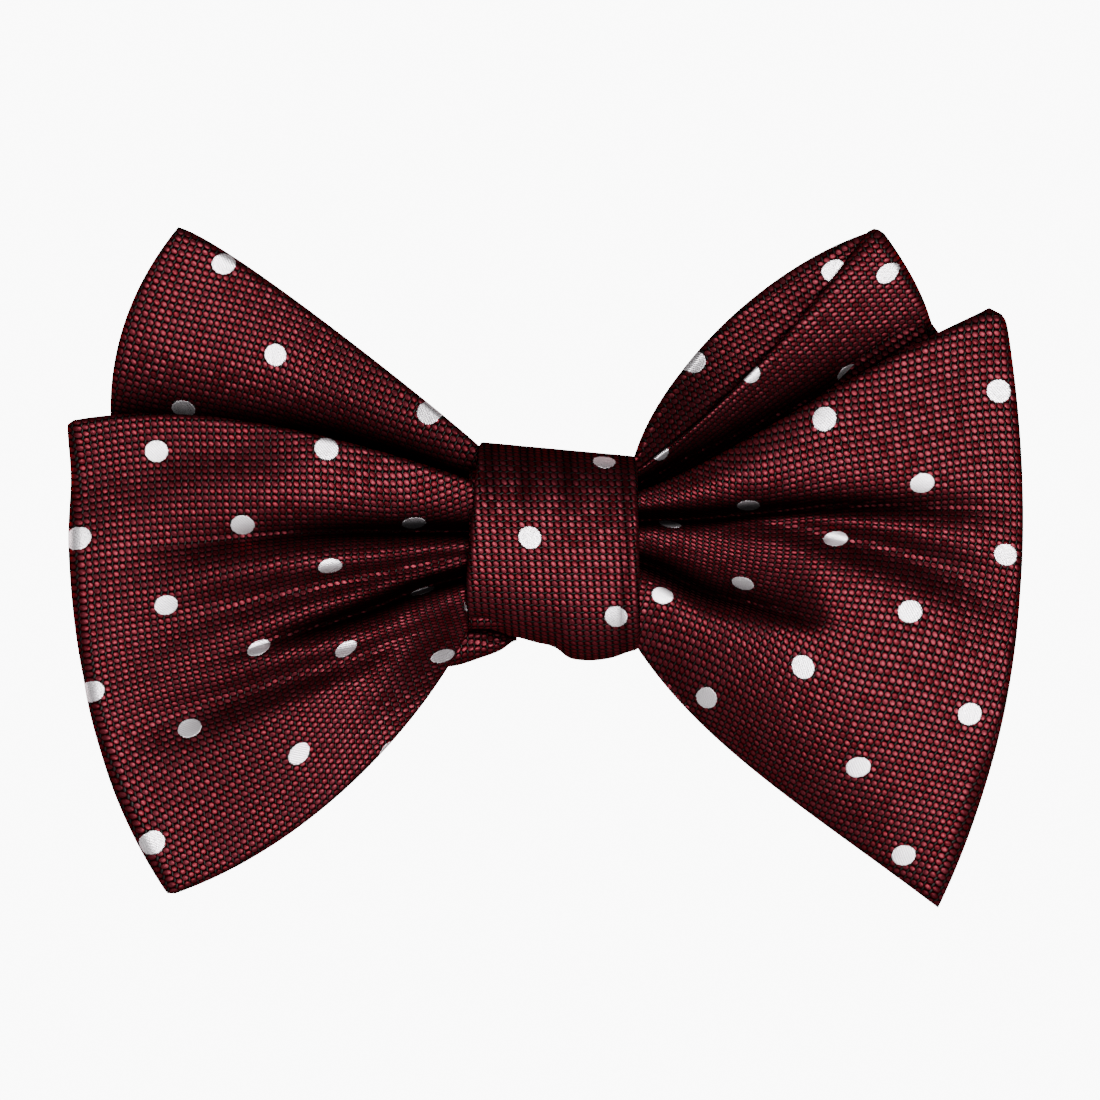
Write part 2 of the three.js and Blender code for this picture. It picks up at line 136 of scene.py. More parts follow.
def bezier(handles, t):
    """A cubic curve's points: t of any shape gives x and z, each of that shape."""
    p = np.array(handles, float)
    weights = [(1 - t) ** 3, 3 * t * (1 - t) ** 2, 3 * t * t * (1 - t), t**3]
    return [sum(w * p[i, axis] for i, w in enumerate(weights)) for axis in (0, 1)]


def lengths(points, axis):
    """Distance along one axis of a grid of points, from its first row or column."""
    steps = np.linalg.norm(np.diff(points, axis=axis), axis=2)
    zero = np.zeros_like(np.take(steps, [0], axis=axis))
    return np.concatenate([zero, np.cumsum(steps, axis=axis)], axis=axis)


def normals(points):
    """Unit normals of a grid of points: down the rows by across the columns."""
    n = np.cross(np.gradient(points, axis=0), np.gradient(points, axis=1))
    return n / np.linalg.norm(n, axis=2, keepdims=True)


# ---- Meshes ----


def object_in_scene(name, data):
    obj = bpy.data.objects.new(name, data)
    bpy.context.scene.collection.objects.link(obj)
    return obj


def make_smooth(mesh):
    mesh.polygons.foreach_set("use_smooth", [True] * len(mesh.polygons))


def cloth_object(name, points, faces, cloth):
    """A piece of cloth. cloth is each point's place on the flat cloth, with how shaded by its folds it is
    as a third number where it has any."""
    mesh = bpy.data.meshes.new(name)
    mesh.from_pydata((points.reshape(-1, 3) * MM).tolist(), [], faces)
    flat = np.zeros((len(mesh.vertices), 3), np.float32)
    flat[:, : cloth.shape[-1]] = cloth.reshape(-1, cloth.shape[-1])
    mesh.attributes.new("cloth", "FLOAT_VECTOR", "POINT").data.foreach_set("vector", flat.ravel())
    mesh.validate()
    make_smooth(mesh)
    obj = object_in_scene(name, mesh)
    face_outwards(obj)
    return obj


def grid_faces(rows, columns, start=0, close_rows=False, close_columns=False):
    """Faces of a grid of points, stored row by row."""
    i = np.arange(rows if close_rows else rows - 1)[:, None]
    j = np.arange(columns if close_columns else columns - 1)[None, :]
    down, along = (i + 1) % rows, (j + 1) % columns
    corners = [i * columns + j, i * columns + along, down * columns + along, down * columns + j]
    return np.stack(np.broadcast_arrays(*corners), axis=-1).reshape(-1, 4) + start


def tube_faces(rows, columns, closed=False):
    """Faces of a tube whose rows go round it. Its ends meet if it is closed, or else are capped."""
    faces = grid_faces(rows, columns, close_rows=closed, close_columns=True).tolist()
    if not closed:
        faces.append(list(range(columns)))
        faces.append(list(range((rows - 1) * columns, rows * columns))[::-1])
    return faces


def rim_faces(rows, columns):
    """Faces that join the borders of two equal grids, the second stored after the first."""
    index = np.arange(rows * columns).reshape(rows, columns)
    border = np.concatenate([index[0, :-1], index[:-1, -1], index[-1, :0:-1], index[:0:-1, 0]])
    following = np.roll(border, -1)
    second = rows * columns
    return np.stack([following, border, border + second, following + second], axis=1)


def side_faces(rows, columns):
    """Faces that join the sides of two such grids whose last row meets the first."""
    row, count = np.arange(rows), rows * columns
    faces = []
    for column, flip in ((0, 1), (columns - 1, -1)):
        this, following = row * columns + column, (row + 1) % rows * columns + column
        faces.append(np.stack([this, following, following + count, this + count], axis=1)[:, ::flip])
    return np.concatenate(faces)


def ply(name, outside, inside, cloth, closed=False):
    """A thin sheet between two grids of points. If it is closed, its last row meets its first."""
    rows, columns = outside.shape[:2]
    front = grid_faces(rows, columns, close_rows=closed)
    back = grid_faces(rows, columns, rows * columns, close_rows=closed)[:, ::-1]
    rim = side_faces(rows, columns) if closed else rim_faces(rows, columns)
    faces = np.concatenate([front, back, rim]).tolist()
    return cloth_object(name, np.stack([outside, inside]), faces, np.stack([cloth, cloth]))


def face_outwards(obj):
    edit = bmesh.new()
    edit.from_mesh(obj.data)
    bmesh.ops.recalc_face_normals(edit, faces=edit.faces)
    edit.to_mesh(obj.data)
    edit.free()


def dress(obj, material, slot, nodes=()):
    """Gives a piece its material, and hides the CAD nodes that it stands for. slot is not used."""
    obj.data.materials.clear()
    obj.data.materials.append(material)
    if nodes:
        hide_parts(*nodes)
    return obj


# ---- Materials ----

GAP_COLOUR = (0.0012, 0.0002, 0.00022)  # between the floats of yarn
BLACK_YARN = (0.0068, 0.0072, 0.0066)
RED_YARN = (0.058, 0.0098, 0.0140)
LINING_RED_YARN = (0.058, 0.0096, 0.0135)
# the red floats' darker colour towards their edges is painted shade
RED_YARN_PAINTED_SHADE = (0.026, 0.0014, 0.0024)
SATIN_YARN = (0.56, 0.53, 0.55)
SATIN_SHADE = (0.11, 0.098, 0.105)
GROUND_IN_FOLD_SHADE = (0.0004, 0.0001, 0.0001)  # painted shade deep in a fold, for the ground and, below, for the spots
SATIN_IN_FOLD_SHADE = (0.010, 0.009, 0.0095)
RED_FLOAT = math.radians(-35), 0.42, 0.32  # its lean, half length and half width, in cells
BLACK_FLOAT = math.radians(75), 0.33, 0.11
TWILL_PITCH = 0.34
SPOT_BLUR = 0.06


def add_node(tree, kind, inputs=(), **settings):
    """A new shader node. An input gets a link if its value is a socket or a Num, or else that value."""
    node = tree.nodes.new("ShaderNode" + kind)
    for name, value in settings.items():
        setattr(node, name, value)
    for name, value in dict(inputs).items():
        value = getattr(value, "socket", value)
        if isinstance(value, bpy.types.NodeSocket):
            tree.links.new(value, node.inputs[name])
        else:
            node.inputs[name].default_value = value
    return node


class Num:
    """A number in a shader tree, so that its formulas can be written as arithmetic."""

    def __init__(self, tree, socket):
        self.tree, self.socket = tree, socket

    def math(self, operation, *others):
        node = add_node(self.tree, "Math", enumerate((self, *others)), operation=operation)
        return Num(self.tree, node.outputs[0])

    def __add__(self, other):
        return self.math("ADD", other)

    def __sub__(self, other):
        return self.math("SUBTRACT", other)

    def __mul__(self, other):
        return self.math("MULTIPLY", other)

    def __truediv__(self, other):
        return self.math("DIVIDE", other)

    def flipped(self):
        """1 minus this."""
        return (self * -1) + 1

    def from_nearest(self):
        """The signed distance to the nearest whole number."""
        return self - (self + 0.5).math("FLOOR")

    def squared(self):
        return self * self

    def step(self, low, high):
        """0 up to low and 1 from high, smooth between. low may be the larger."""
        inputs = {
            "Value": self,
            "From Min": min(low, high),
            "From Max": max(low, high),
            "To Min": float(low > high),
            "To Max": float(low < high),
        }
        node = add_node(self.tree, "MapRange", inputs, interpolation_type="SMOOTHSTEP")
        return Num(self.tree, node.outputs["Result"])


class Shader:
    """A material's node tree, with one Principled shader."""

    def __init__(self, name):
        self.material = bpy.data.materials.new(name)
        self.material.use_nodes = True
        self.tree = self.material.node_tree
        self.surface = self.tree.nodes["Principled BSDF"]

    def node(self, kind, inputs=(), **settings):
        return add_node(self.tree, kind, inputs, **settings)

    def number(self, socket):
        return Num(self.tree, socket)

    def attribute(self, name):
        return self.node("Attribute", attribute_name=name).outputs["Vector"]

    def parts(self, vector):
        return [self.number(out) for out in self.node("SeparateXYZ", {0: vector}).outputs]

    def vector(self, *numbers):
        return self.node("CombineXYZ", enumerate(numbers)).outputs[0]

    def place(self):
        """The surface's own place on the object, in millimetres."""
        place = self.node("TexCoord").outputs["Object"]
        return self.node("VectorMath", {0: place, "Scale": 1 / MM}, operation="SCALE").outputs[0]

    def noise(self, vector, scale, detail=2.0):
        node = self.node("TexNoise", {"Vector": vector, "Scale": scale, "Detail": detail})
        return self.number(node.outputs["Fac"])

    def random(self, *cell):
        """A number from 0 to 1 that is the same all over a cell."""
        node = self.node("TexWhiteNoise", {"Vector": self.vector(*cell)}, noise_dimensions="2D")
        return self.number(node.outputs["Value"])

    def blend(self, share, first, second):
        """A colour between two, each a colour or a socket."""
        first, second = ((*c, 1) if isinstance(c, tuple) else c for c in (first, second))
        node = self.node("Mix", {0: share, 6: first, 7: second}, data_type="RGBA")
        return node.outputs[2]

    def link(self, name, value):
        self.tree.links.new(getattr(value, "socket", value), self.surface.inputs[name])

    def relief(self, height):
        """Bumps of that height in millimetres."""
        node = self.node("Bump", {"Strength": 1.0, "Distance": MM, "Height": height})
        self.link("Normal", node.outputs["Normal"])


def float_of_yarn(p, q, lean, long, short):
    """How far a point is from the middle of its cell's float of yarn: 0 in the middle and 1 at its edge,
    squared. p and q are counted in cells, and the float leans from the first towards the second."""
    dp, dq = p.from_nearest(), q.from_nearest()
    c, s = math.cos(lean), math.sin(lean)
    return ((dp * c + dq * s) / long).squared() + ((dq * c - dp * s) / short).squared()


def spots_on(shader, cloth, u, v):
    """1 on the woven spots and 0 off them, with slightly ragged edges."""
    m, n = u / SPOT_STEP, v / SPOT_STEP
    r, t = ((m + n) * 0.5).from_nearest(), ((m - n) * 0.5).from_nearest()
    ragged = (shader.noise(cloth, 4.5, 1.0) - 0.5) * 0.32
    from_spot = ((r + t).squared() + (r - t).squared()).math("SQRT") * SPOT_STEP + ragged
    return from_spot.step(SPOT_RADIUS + SPOT_BLUR, SPOT_RADIUS - SPOT_BLUR)


def woven_silk(name, red_yarn):
    """Basket weave of red floats with near-black ones between them, and satin spots."""
    shader = Shader(name)
    u, v, fold_shading = shader.parts(shader.attribute("cloth"))
    cloth = shader.vector(u, v)
    p, q = u / WEAVE_ALONG, v / WEAVE_ACROSS
    cell = [(x + 0.5).math("FLOOR") for x in (p, q)]
    chance, other_chance = shader.random(*cell), shader.random(cell[1] + 37.0, cell[0])
    fibres = shader.noise(cloth, 9.0)
    # streaky noise that paints glints on the red floats
    painted_glints = shader.noise(shader.vector(u + v * 0.6, (v - u * 0.6) * 0.35), 7.0)

    red_float = float_of_yarn(p, q, *RED_FLOAT)
    black_float = float_of_yarn(p + 0.5, q + 0.5, *BLACK_FLOAT)
    is_red = red_float.step(1.6, 0.6)
    is_black = black_float.step(1.3, 0.6)
    is_spot = spots_on(shader, cloth, u, v)
    is_ground = is_spot.flipped()

    # Painted highlight on the red floats: bright in their middles and painted shade towards their edges,
    # brighter on some floats than others as painted sparkle, and streaked with painted glints.
    painted_float_highlight = red_float.step(1.0, 0.1) * 0.5 + chance * 0.45 + (painted_glints - 0.5) * 2.0
    ground = shader.blend(is_black, GAP_COLOUR, BLACK_YARN)
    ground = shader.blend(is_red, ground, shader.blend(painted_float_highlight, RED_YARN_PAINTED_SHADE, red_yarn))
    satin = shader.blend(fibres.step(0.28, 0.62), SATIN_SHADE, SATIN_YARN)
    # Painted shade: the ground and the spots darken deep in narrow folds.
    ground = shader.blend(fold_shading * 0.92, ground, GROUND_IN_FOLD_SHADE)
    satin = shader.blend(fold_shading.squared() * 0.95, satin, SATIN_IN_FOLD_SHADE)
    shader.link("Base Color", shader.blend(is_spot, ground, satin))

    shader.surface.inputs["Specular IOR Level"].default_value = 0.0
    shader.surface.inputs["Specular Tint"].default_value = (0.40, 0.06, 0.07, 1)
    yarn = (is_red * 0.95).math("MAXIMUM", is_black * 0.7)
    shader.link("Metallic", yarn * is_ground + is_spot * 0.95)
    shader.link("Roughness", is_spot * -0.10 + 0.48 + fibres * 0.06)

    red_dome, black_dome = (f.math("MINIMUM", 1.0).flipped() for f in (red_float, black_float))
    tipped = p.from_nearest() * (chance - 0.5) + q.from_nearest() * (other_chance - 0.5)
    ground_relief = (red_dome * 0.04 + black_dome * 0.03 + tipped * is_red * 0.30) * is_ground
    twill = ((u + v * 0.8) * (2 * math.pi / TWILL_PITCH)).math("SINE")
    spot_relief = is_spot * (fibres * 0.03 + 0.07) + is_spot * twill * 0.009
    shader.relief(ground_relief + spot_relief + fibres * 0.012)
    return shader.material


def plain_weave(name, dark, light, pitch):
    """A matt unbleached cloth."""
    shader = Shader(name)
    u, v, _ = shader.parts(shader.attribute("cloth"))
    wave = [(x * (2 * math.pi / pitch)).math("SINE") for x in (u, v)]
    weave = wave[0] * wave[1] * 0.5 + 0.5
    mottle = shader.noise(shader.attribute("cloth"), 1.2)
    # Painted shade: the canvas is darker where its weave is low, and mottled at random.
    shader.link("Base Color", shader.blend(weave * 0.6 + mottle * 0.4, dark, light))
    shader.link("Roughness", mottle * 0.1 + 0.85)
    shader.relief(weave * 0.08)
    return shader.material


def nickel_plate(name):
    """Nickel plate with fine brushing along Z and cloudy wear."""
    shader = Shader(name)
    place = shader.place()
    x, y, z = shader.parts(place)
    brushing = shader.noise(shader.vector(x * 9, y * 9, z * 0.6), 1.0, 3.0)
    cloud = shader.noise(place, 0.35, 3.0)
    shader.link("Base Color", shader.blend(cloud, (0.48, 0.46, 0.42), (0.70, 0.69, 0.66)))
    shader.surface.inputs["Metallic"].default_value = 1.0
    shader.link("Roughness", brushing * 0.18 + cloud * 0.12 + 0.14)
    shader.relief(brushing * 0.012)
    return shader.material


def sewing_thread(name):
    shader = Shader(name)
    x, y, z = shader.parts(shader.place())
    twist = ((x + y + z * 1.3) * (2 * math.pi / 0.22)).math("SINE") * 0.5 + 0.5
    # Painted shade: the thread is darker in the grooves of its twist, where its relief is low.
    shader.link("Base Color", shader.blend(twist, (0.10, 0.004, 0.010), (0.26, 0.015, 0.03)))
    shader.link("Roughness", twist * 0.15 + 0.45)
    shader.relief(twist * 0.03)
    return shader.material


def matt_paper(name, colour):
    """Paper as bright to the camera as a lit studio floor, which casts none of that on the object."""
    shader = Shader(name)
    grain = shader.noise(shader.place(), 0.05)
    shader.link("Base Color", shader.blend(grain, colour, tuple(0.985 * c for c in colour)))
    shader.surface.inputs["Roughness"].default_value = 0.9
    shader.surface.inputs["Emission Color"].default_value = (*colour, 1)
    ray = shader.number(shader.node("LightPath").outputs["Is Camera Ray"])
    shader.link("Emission Strength", ray * 2.5)
    return shader.material


silk = woven_silk("spotted_silk", RED_YARN)
lining_silk = woven_silk("lining_silk", LINING_RED_YARN)
canvas = plain_weave("interlining_canvas", (0.50, 0.44, 0.33), (0.80, 0.75, 0.64), 0.5)
nickel = nickel_plate("nickel_plate")
thread = sewing_thread("sewing_thread")


# ---- Wings ----
#
# A leaf is one layer of a wing, from the knot out. a runs along it, 0 at the knot and 1 at its end, and b
# across it, -1 at the lower edge and 1 at the upper. Creases and swells are lines on it, seen from the
# front: each is a list of stations (distance out from the middle, height, depth, reach above the line,
# reach below it). A crease is deepest at its line, where it turns sharply, and a swell is rounded.

ACROSS = 121
ALONG = 110  # rows along one leaf
ROUND = 13  # more rows round a loop's fold
INSIDE_SPAN = 30.0  # inside the knot, how many millimetres go with one unit of a
INSIDE_TAPER = 2.4  # and how fast a leaf gets narrower
A_ROWS = np.linspace(-TUCKED / INSIDE_SPAN, 1, ALONG)[:, None]
B_COLUMNS = np.linspace(-1, 1, ACROSS)[None, :]
CREASE_BLUNTNESS = 0.12
SHADED_FROM, SHADED_TO = 0.22, 0.9  # how steep a fold is when it starts to be shaded, and when it is dark
INNER_SHADE = 0.3  # how shaded the inside of a loop is
EVENING_ROWS = 31  # the rows over which the cloth taken up by creases is averaged
PLATE_GIVE = 1.0  # how far the cloth may pass from a spot's place, as a share of how stiff it is
CORE_STEP = 2  # the interlining has every second row of its strip
CORE_MARGIN = 6  # and stops this many columns short of each seam


@dataclass
class Leaf:
    side: int  # -1 to the left and 1 to the right
    lower: list  # its lower edge's handles
    upper: list
    bulge: tuple  # how far its end stands out, how skewed that is, and how square
    inset: float  # how far its end is drawn in
    depth: object  # its depth, as a function of a and b
    creases: list
    swells: list
    corner: tuple = (0, 1)  # how much its upper corner is cut, over what share of its end
    behind: bool = False  # whether it is a loop's back leaf
    rolled: tuple = (1, 0)  # how wide the seam at its lower tip is, and how far it rolls back

    def points(self, creased):
        """The grid of points on its mid-surface."""
        b = B_COLUMNS
        along, inside = np.clip(A_ROWS, 0, 1), np.minimum(A_ROWS, 0)
        low_x, low_z = bezier(self.lower, along)
        high_x, high_z = bezier(self.upper, along)
        x, z = mix(low_x, high_x, (b + 1) / 2), mix(low_z, high_z, (b + 1) / 2)
        length = np.hypot(high_x - low_x, high_z - low_z)
        out_x, out_z = (high_z - low_z) / length, -(high_x - low_x) / length
        cut, cut_share = self.corner
        trimmed = cut * np.exp(-(1 - b) / cut_share)
        fullness, skew, power = self.bulge
        round_end = fullness * (1 - np.abs(b) ** power) * (1 + skew * b)
        push = along**2 * (round_end - self.inset - trimmed * along**8)
        out = x + push * out_x + inside * INSIDE_SPAN
        middle = (self.lower[0][1] + self.upper[0][1]) / 2
        z = middle + (z - middle) * (1 + INSIDE_TAPER * inside) + push * out_z
        y = self.depth(along, b) + np.zeros_like(out)
        width, fall = self.rolled
        near_end = smooth_step((1 - along) * (high_x + low_x) / 2, width, 0)
        y = y + fall * near_end * smooth_step(-b, 0.3, 0.7)
        if creased:
            # A loop's back leaf follows its front leaf at the knot, and is smoother away from it.
            share = mix(1.0, 0.3, smooth_step(along, 0.0, 0.3)) if self.behind else 1.0
            y = y + share * sum(line_depth(line, out, z, True) for line in self.creases)
            y = y + share * sum(line_depth(line, out, z, False) for line in self.swells)
        return np.stack([self.side * out, y, z], axis=-1)


def line_depth(stations, out, z, sharp):
    """How far back a crease or swell pushes the points at those distances out and heights."""
    at, height, depth, above, below = np.array(stations, float).T
    off = z - smooth_through(out, at, height)
    reach = np.where(off > 0, smooth_through(out, at, above), smooth_through(out, at, below))
    if sharp:
        blunt = CREASE_BLUNTNESS
        return smooth_through(out, at, depth) * np.exp(-(np.sqrt(off**2 + blunt**2) - blunt) / reach)
    return smooth_through(out, at, depth) * bump(off, 0, reach)


def loop_points(front, back, creased):
    """The front leaf, half a turn round the fold, and the back leaf home."""
    near, far = front.points(creased), back.points(creased)
    turn = np.linspace(0, np.pi, ROUND + 2)[1:-1, None, None]
    centre, arm = (near[-1] + far[-1]) / 2, (near[-1] - far[-1]) / 2
    outward = (near[-1] - near[-3]) * np.array([1, 0, 1])
    outward = outward / np.linalg.norm(outward, axis=1, keepdims=True)
    reach = np.linalg.norm(arm, axis=1, keepdims=True) * outward
    fold = centre + arm * np.cos(turn) + reach * np.sin(turn)
    return np.concatenate([near, fold, far[::-1]])


def arc_places(surface, sign):
    """Each point's distance along the strip from the front leaf's end, and across it from its middle."""
    middle = surface.shape[1] // 2
    along, across = lengths(surface, 0), lengths(surface, 1)
    return np.stack([sign * (along - along[ALONG - 1]), across - across[:, middle : middle + 1]], axis=-1)


def evened_along(values):
    """The rows' values, each averaged with its neighbours along the strip."""
    half = EVENING_ROWS // 2
    before, after = np.repeat(values[:1], half + 1, axis=0), np.repeat(values[-1:], half, axis=0)
    total = np.cumsum(np.concatenate([before, values, after]), axis=0)
    return (total[EVENING_ROWS:] - total[:-EVENING_ROWS]) / EVENING_ROWS


def cloth_places(surface, leaf, spots, sign):
    """Each point's place on the flat cloth, along the strip and across it. spots says where woven spots
    lie on one leaf, which is some of the rows. The cloth lies smoothly through them there, with more of
    it taken up where it is creased, and at its own length on the other rows."""
    arcs = arc_places(surface, sign)
    taken_up = evened_along((arcs - arc_places(surface * (1, 0, 1), sign))[leaf] * (0, 1))
    seen = surface[leaf][..., [0, 2]].reshape(-1, 2)
    centres = np.array([spot[:2] for spot in spots])
    wanted = np.array([spot[2:] for spot in spots]) * SPOT_STEP
    nearest = [np.argmin(((seen - centre) ** 2).sum(axis=1)) for centre in centres]
    level = through_spots(seen, centres, wanted - taken_up.reshape(-1, 2)[nearest])
    cloth = arcs.copy()
    cloth[leaf] = level.reshape(taken_up.shape) + taken_up
    cloth[: leaf.start] += cloth[leaf.start] - arcs[leaf.start]
    cloth[leaf.stop :] += cloth[leaf.stop - 1] - arcs[leaf.stop - 1]
    return cloth


def through_spots(places, centres, values):
    """A smooth value for each place that comes near the values at the centres, as a thin plate does."""

    def kernel(a, b):
        squared = ((a[:, None, :] - b[None, :, :]) ** 2).sum(axis=2)
        return 0.5 * squared * np.log(squared + 1e-9)

    def plane(points):
        return np.column_stack([np.ones(len(points)), points])

    count = len(centres)
    matrix = np.zeros((count + 3, count + 3))
    matrix[:count, :count] = kernel(centres, centres) + PLATE_GIVE * np.eye(count)
    matrix[:count, count:] = plane(centres)
    matrix[count:, :count] = plane(centres).T
    weights = np.linalg.solve(matrix, np.concatenate([values, np.zeros((3, 2))]))
    return kernel(places, centres) @ weights[:count] + plane(places) @ weights[count:]


def fold_shade(surface, creases):
    """How deep in a narrow fold each point lies, from 0 to 1: less light gets deep into a narrow one."""
    out, z = np.abs(surface[..., 0]), surface[..., 2]
    steep = np.zeros_like(z)
    for stations in creases:
        at, _, _, above, _ = np.array(stations, float).T
        width = 2 * smooth_through(out, at, above)
        steep = np.maximum(steep, line_depth(stations, out, z, True) / width)
    return smooth_step(steep, SHADED_FROM, SHADED_TO)[..., None]


def seam_share(surface, free_end):
    """1 on the body of a strip, falling to 0 at its seams."""
    across = lengths(surface, 1)
    from_seam = np.minimum(across, across[:, -1:] - across)
    if free_end:
        along = lengths(surface, 0)
        from_seam = np.minimum(from_seam, along[-1:] - along)
    near = np.clip(1 - from_seam / SEAM_ROUNDING, 0, 1)
    return np.sqrt(1 - near**2)[..., None]


def facing_forwards(facing):
    """Those normals, turned round if the one near the knot faces backwards."""
    near_knot = facing[10, ACROSS // 2]
    return -facing if near_knot[1] > 0 else facing


def wing(name, points, creases, spots, free_end, inner_spots=()):
    """The face panel, the lining panel and the interlining of one strip. points gives the strip with its
    creases or without them, and inner_spots are the spots on a loop's inside."""
    surface, plain = points(True), points(False)
    side = -1 if name in ("front_loop", "back_end") else 1
    facing = facing_forwards(normals(plain))
    thick = seam_share(surface, free_end)
    cloth = cloth_places(surface, slice(0, ALONG), spots, side)
    inner_cloth = cloth
    if inner_spots:
        inner_cloth = cloth_places(surface, slice(ALONG + ROUND, len(surface)), inner_spots, -side)
    shade = fold_shade(surface, creases)
    cloth = np.concatenate([cloth, shade], axis=-1)
    inner_cloth = np.concatenate([inner_cloth, np.maximum(shade, INNER_SHADE)], axis=-1)
    flat_size, flat_area = strip_size(surface)

    def panel(kind, sign, material, slot):
        outside = surface + sign * facing * mix(SEAM_OUTSIDE, HALF_STRIP, thick)
        inside = surface + sign * facing * mix(SEAM_INSIDE, HALF_STRIP - PLY, thick)
        piece = ply(f"{name}_{kind}_panel", outside, inside, cloth if sign > 0 else inner_cloth)
        dress(piece, material, slot, [f"{name}_{kind}"])
        return piece

    within = (slice(0, len(surface) - CORE_STEP * free_end, CORE_STEP), slice(CORE_MARGIN, -CORE_MARGIN))
    core, half = surface[within], CORE_HALF * facing[within]
    filler = ply(f"{name}_interlining_ply", core + half, core - half, cloth[within])
    dress(filler, canvas, "interlining", [f"{name}_interlining"])
    pieces = [
        panel("face", 1, silk, "spotted_silk"),
        panel("lining", -1, lining_silk, "lining_silk"),
        filler,
    ]
    y = joint_at[f"{name}_flex"][1]
    start, end = (side * (KNOT_X - BEND_START) * MM, y, 0), (side * BEND_END * MM, y, 0)
    for piece in pieces:
        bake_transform(piece)
        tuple(start)
        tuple(end)


def strip_size(surface):
    """A strip's flat width and length, and its flat area, in metres and square metres."""
    across = lengths(surface, 1)[:, -1] * MM
    along = np.mean(lengths(surface, 0)[-1]) * MM
    return (float(across.max()), float(along)), float(across.mean() * along)


FRONT_LOOP_CREASES = [
    # above the first ridge
    [(7, 2.3, 4.4, 1.4, 0.7), (11.4, 2.4, 5, 1.6, 0.7), (20, 2.3, 5.3, 2.2, 0.9),
     (28, 2.2, 5.2, 2.8, 1.2), (36, 1.8, 4.6, 4, 1.6), (44, 1, 3, 5.5, 2.4), (50, 0.5, 1.4, 7, 4),
     (57, 0, 0, 8, 5)],
    # above the second ridge
    [(7, -2.4, 4.4, 1.4, 0.7), (11, -3.2, 5, 1.5, 0.8), (17, -4.9, 5.5, 1.8, 1),
     (23.8, -7.6, 5.4, 2.2, 1.2), (29.3, -9.4, 4.8, 2.4, 1.4), (35.4, -11.2, 3.2, 3, 1.8),
     (42, -13.2, 1.8, 4, 3), (52, -15.5, 0.4, 5, 4)],
]
FRONT_LOOP_SWELLS = [
    # under the first ridge
    [(7, -0.4, 0.9, 0.6, 0.8), (15.5, -1.4, 1.7, 0.9, 1.1), (22, -2.8, 2.5, 1.2, 1.5),
     (28, -4.1, 3.1, 1.6, 2), (36, -5.7, 3, 2.2, 2.6), (42, -7, 2.1, 2.6, 3.2), (51, -10.3, 0.9, 3, 4),
     (57, -12, 0, 3, 4)],
    # under the second ridge
    [(7, -7.5, 0, 1, 1.5), (18, -10.4, 0.8, 1, 1.6), (24, -13, 1.9, 1.4, 1.9),
     (28.8, -14.5, 2.4, 1.8, 2), (33, -15.8, 2.7, 2, 2.2), (41.6, -18.6, 2.4, 2.4, 2.8),
     (49.9, -21.3, 1.2, 3, 3.5), (57, -23, 0, 3, 4)],
    # the lower edge goes back under the wrap's corner
    [(7, -11.5, 5.4, 4.5, 4), (12, -11.8, 5, 4.6, 4), (15, -13.6, 3.2, 4.6, 4), (20, -18, 1, 4.6, 4),
     (26, -23, 0, 4.6, 4)],
    # the fold's outer edge falls back a little
    [(30, 12, 0, 4, 3.4), (38, 12.8, 1.5, 4.5, 3.4), (46, 12.4, 1.4, 4.5, 3.8), (53, 10.5, 1.2, 5, 5),
     (62, 9, 1.4, 5, 5)],
]
FRONT_END_CREASES = [
    # the long valley above the middle ridge
    [(7, 3.5, 4.2, 1.2, 0.6), (11.3, 3.8, 4.8, 1.3, 0.6), (18.9, 4, 5.1, 1.6, 0.7),
     (27, 4.8, 5, 1.9, 0.8), (32.6, 5.3, 4.4, 1.9, 0.9), (40.9, 5.6, 3.4, 1.8, 1.1),
     (48, 5.5, 2.4, 1.8, 1.4), (54, 5.2, 1.3, 2, 2), (60, 5, 0, 3, 3)],
    # the pocket, above its lip
    [(7, -0.8, 3.2, 1.4, 0.8), (11.4, -1.6, 4.4, 1.6, 0.9), (13.4, -2.4, 5.2, 2, 1),
     (18.9, -5.1, 5.9, 3.1, 1.2), (25.8, -6.9, 5.4, 3.8, 1), (30, -7.9, 4, 3.6, 0.8),
     (32, -8.4, 2.4, 3, 0.8), (33.6, -8.7, 0.9, 2.2, 1.2), (36, -9, 0, 2, 2)],
    # the lower edge falls back near the knot
    [(7, -12, 4, 5, 5), (12, -14.5, 6, 7, 5), (20, -23, 7.8, 11, 5), (28, -30, 7, 12, 5),
     (36, -36, 4.6, 12, 5), (44, -42, 2.2, 11, 5), (52, -47, 0.6, 10, 5)],
]
FRONT_END_SWELLS = [
    # under the middle ridge
    [(7, 2, 0, 1, 1.5), (20, 2.4, 0.4, 0.8, 1.5), (27, 3.2, 1.5, 0.8, 1.8), (31, 2.8, 2.3, 1, 2.1),
     (35.4, 1.8, 2.9, 1.3, 2.3), (42, 0.2, 3, 1.8, 2.6), (49, -2.1, 2.4, 2.4, 3.2),
     (56, -4.2, 0.9, 3.5, 4.5), (62, -5, 0.3, 4, 5)],
    # the upper edge falls back near the knot
    [(7, 7.8, 1.2, 2, 2), (11, 8, 2, 2, 2.2), (20, 12.2, 1.8, 2, 3), (30, 19, 0.8, 2, 3.5),
     (40, 25.5, 0, 2, 4)],
]
BACK_END_CREASES = [
    # behind the front loop's upper edge
    [(7, 8, 3.4, 1.8, 4), (12, 9.4, 4.8, 2.2, 5), (16, 10.8, 5.8, 2.4, 6), (22, 12.5, 6.6, 2.8, 6),
     (28, 14, 7, 3.2, 6), (34, 15.1, 6.8, 3.6, 6), (40, 16, 6.2, 4, 6), (46, 16.6, 6.4, 4.4, 6),
     (51, 16.8, 6.8, 4.8, 6), (58, 16.8, 7.4, 5.6, 6)],
]
